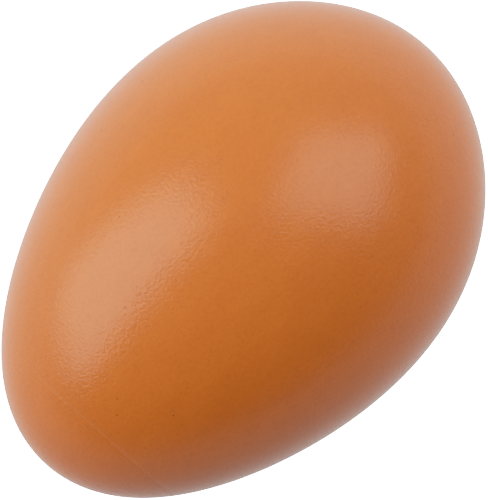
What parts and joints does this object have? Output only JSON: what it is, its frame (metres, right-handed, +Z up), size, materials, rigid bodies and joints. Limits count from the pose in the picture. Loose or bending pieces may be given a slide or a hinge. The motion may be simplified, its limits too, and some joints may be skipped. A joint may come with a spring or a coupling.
{
  "type": "egg shaker",
  "caption": "Lacquered wooden egg bored out and plugged at its pointed end, with loose steel shot inside that rattles when it is shaken.",
  "frame": {"origin": "on the surface the egg lies on, under the middle of its length", "axes": "+X along the egg's long axis towards its blunt end, +Z up; the long axis lies level"},
  "size_m": [0.06, 0.0436, 0.0435],
  "materials": {
    "brown_lacquer": "satin",
    "bare_beech": "matte",
    "wood_glue": null,
    "steel_shot": "polished"
  },
  "bodies": {
    "egg": {"egg_body": "brown_lacquer", "end_plug": "brown_lacquer", "plug_glue": "wood_glue"},
    "steel_ball_01": {"steel_ball_01": "steel_shot"},
    "steel_ball_02": {"steel_ball_02": "steel_shot"},
    "steel_ball_03": {"steel_ball_03": "steel_shot"},
    "steel_ball_04": {"steel_ball_04": "steel_shot"},
    "steel_ball_05": {"steel_ball_05": "steel_shot"},
    "steel_ball_06": {"steel_ball_06": "steel_shot"},
    "steel_ball_07": {"steel_ball_07": "steel_shot"},
    "steel_ball_08": {"steel_ball_08": "steel_shot"},
    "steel_ball_09": {"steel_ball_09": "steel_shot"},
    "steel_ball_10": {"steel_ball_10": "steel_shot"},
    "steel_ball_11": {"steel_ball_11": "steel_shot"},
    "steel_ball_12": {"steel_ball_12": "steel_shot"},
    "steel_ball_13": {"steel_ball_13": "steel_shot"},
    "steel_ball_14": {"steel_ball_14": "steel_shot"},
    "steel_ball_15": {"steel_ball_15": "steel_shot"},
    "steel_ball_16": {"steel_ball_16": "steel_shot"},
    "steel_ball_17": {"steel_ball_17": "steel_shot"},
    "steel_ball_18": {"steel_ball_18": "steel_shot"},
    "steel_ball_19": {"steel_ball_19": "steel_shot"},
    "steel_ball_20": {"steel_ball_20": "steel_shot"},
    "steel_ball_21": {"steel_ball_21": "steel_shot"},
    "steel_ball_22": {"steel_ball_22": "steel_shot"},
    "steel_ball_23": {"steel_ball_23": "steel_shot"},
    "steel_ball_24": {"steel_ball_24": "steel_shot"},
    "steel_ball_25": {"steel_ball_25": "steel_shot"},
    "steel_ball_26": {"steel_ball_26": "steel_shot"},
    "steel_ball_27": {"steel_ball_27": "steel_shot"},
    "steel_ball_28": {"steel_ball_28": "steel_shot"},
    "steel_ball_29": {"steel_ball_29": "steel_shot"},
    "steel_ball_30": {"steel_ball_30": "steel_shot"},
    "steel_ball_31": {"steel_ball_31": "steel_shot"},
    "steel_ball_32": {"steel_ball_32": "steel_shot"},
    "steel_ball_33": {"steel_ball_33": "steel_shot"},
    "steel_ball_34": {"steel_ball_34": "steel_shot"},
    "steel_ball_35": {"steel_ball_35": "steel_shot"},
    "steel_ball_36": {"steel_ball_36": "steel_shot"},
    "steel_ball_37": {"steel_ball_37": "steel_shot"},
    "steel_ball_38": {"steel_ball_38": "steel_shot"}
  },
  "joints": [
    {"name": "ball_flight_01", "type": "slide", "parent": "egg", "child": "steel_ball_01", "axis": [0, 0, 1], "range_m": [0, 0.0213]},
    {"name": "ball_flight_02", "type": "slide", "parent": "egg", "child": "steel_ball_02", "axis": [0, 0, 1], "range_m": [0, 0.0213]},
    {"name": "ball_flight_03", "type": "slide", "parent": "egg", "child": "steel_ball_03", "axis": [0, 0, 1], "range_m": [0, 0.0213]},
    {"name": "ball_flight_04", "type": "slide", "parent": "egg", "child": "steel_ball_04", "axis": [0, 0, 1], "range_m": [0, 0.0213]},
    {"name": "ball_flight_05", "type": "slide", "parent": "egg", "child": "steel_ball_05", "axis": [0, 0, 1], "range_m": [0, 0.0213]},
    {"name": "ball_flight_06", "type": "slide", "parent": "egg", "child": "steel_ball_06", "axis": [0, 0, 1], "range_m": [0, 0.0213]},
    {"name": "ball_flight_07", "type": "slide", "parent": "egg", "child": "steel_ball_07", "axis": [0, 0, 1], "range_m": [0, 0.0213]},
    {"name": "ball_flight_08", "type": "slide", "parent": "egg", "child": "steel_ball_08", "axis": [0, 0, 1], "range_m": [0, 0.0213]},
    {"name": "ball_flight_09", "type": "slide", "parent": "egg", "child": "steel_ball_09", "axis": [0, 0, 1], "range_m": [0, 0.01996]},
    {"name": "ball_flight_10", "type": "slide", "parent": "egg", "child": "steel_ball_10", "axis": [0, 0, 1], "range_m": [0, 0.01996]},
    {"name": "ball_flight_11", "type": "slide", "parent": "egg", "child": "steel_ball_11", "axis": [0, 0, 1], "range_m": [0, 0.01996]},
    {"name": "ball_flight_12", "type": "slide", "parent": "egg", "child": "steel_ball_12", "axis": [0, 0, 1], "range_m": [0, 0.01996]},
    {"name": "ball_flight_13", "type": "slide", "parent": "egg", "child": "steel_ball_13", "axis": [0, 0, 1], "range_m": [0, 0.01996]},
    {"name": "ball_flight_14", "type": "slide", "parent": "egg", "child": "steel_ball_14", "axis": [0, 0, 1], "range_m": [0, 0.01996]},
    {"name": "ball_flight_15", "type": "slide", "parent": "egg", "child": "steel_ball_15", "axis": [0, 0, 1], "range_m": [0, 0.01996]},
    {"name": "ball_flight_16", "type": "slide", "parent": "egg", "child": "steel_ball_16", "axis": [0, 0, 1], "range_m": [0, 0.01996]},
    {"name": "ball_flight_17", "type": "slide", "parent": "egg", "child": "steel_ball_17", "axis": [0, 0, 1], "range_m": [0, 0.01996]},
    {"name": "ball_flight_18", "type": "slide", "parent": "egg", "child": "steel_ball_18", "axis": [0, 0, 1], "range_m": [0, 0.01996]},
    {"name": "ball_flight_19", "type": "slide", "parent": "egg", "child": "steel_ball_19", "axis": [0, 0, 1], "range_m": [0, 0.01996]},
    {"name": "ball_flight_20", "type": "slide", "parent": "egg", "child": "steel_ball_20", "axis": [0, 0, 1], "range_m": [0, 0.01996]},
    {"name": "ball_flight_21", "type": "slide", "parent": "egg", "child": "steel_ball_21", "axis": [0, 0, 1], "range_m": [0, 0.01996]},
    {"name": "ball_flight_22", "type": "slide", "parent": "egg", "child": "steel_ball_22", "axis": [0, 0, 1], "range_m": [0, 0.01996]},
    {"name": "ball_flight_23", "type": "slide", "parent": "egg", "child": "steel_ball_23", "axis": [0, 0, 1], "range_m": [0, 0.01523]},
    {"name": "ball_flight_24", "type": "slide", "parent": "egg", "child": "steel_ball_24", "axis": [0, 0, 1], "range_m": [0, 0.01523]},
    {"name": "ball_flight_25", "type": "slide", "parent": "egg", "child": "steel_ball_25", "axis": [0, 0, 1], "range_m": [0, 0.01523]},
    {"name": "ball_flight_26", "type": "slide", "parent": "egg", "child": "steel_ball_26", "axis": [0, 0, 1], "range_m": [0, 0.01523]},
    {"name": "ball_flight_27", "type": "slide", "parent": "egg", "child": "steel_ball_27", "axis": [0, 0, 1], "range_m": [0, 0.01523]},
    {"name": "ball_flight_28", "type": "slide", "parent": "egg", "child": "steel_ball_28", "axis": [0, 0, 1], "range_m": [0, 0.01523]},
    {"name": "ball_flight_29", "type": "slide", "parent": "egg", "child": "steel_ball_29", "axis": [0, 0, 1], "range_m": [0, 0.01523]},
    {"name": "ball_flight_30", "type": "slide", "parent": "egg", "child": "steel_ball_30", "axis": [0, 0, 1], "range_m": [0, 0.01523]},
    {"name": "ball_flight_31", "type": "slide", "parent": "egg", "child": "steel_ball_31", "axis": [0, 0, 1], "range_m": [0, 0.01523]},
    {"name": "ball_flight_32", "type": "slide", "parent": "egg", "child": "steel_ball_32", "axis": [0, 0, 1], "range_m": [0, 0.01523]},
    {"name": "ball_flight_33", "type": "slide", "parent": "egg", "child": "steel_ball_33", "axis": [0, 0, 1], "range_m": [0, 0.01523]},
    {"name": "ball_flight_34", "type": "slide", "parent": "egg", "child": "steel_ball_34", "axis": [0, 0, 1], "range_m": [0, 0.01523]},
    {"name": "ball_flight_35", "type": "slide", "parent": "egg", "child": "steel_ball_35", "axis": [0, 0, 1], "range_m": [0, 0.01523]},
    {"name": "ball_flight_36", "type": "slide", "parent": "egg", "child": "steel_ball_36", "axis": [0, 0, 1], "range_m": [0, 0.01523]},
    {"name": "ball_flight_37", "type": "slide", "parent": "egg", "child": "steel_ball_37", "axis": [0, 0, 1], "range_m": [0, 0.01523]},
    {"name": "ball_flight_38", "type": "slide", "parent": "egg", "child": "steel_ball_38", "axis": [0, 0, 1], "range_m": [0, 0.01523]}
  ]
}
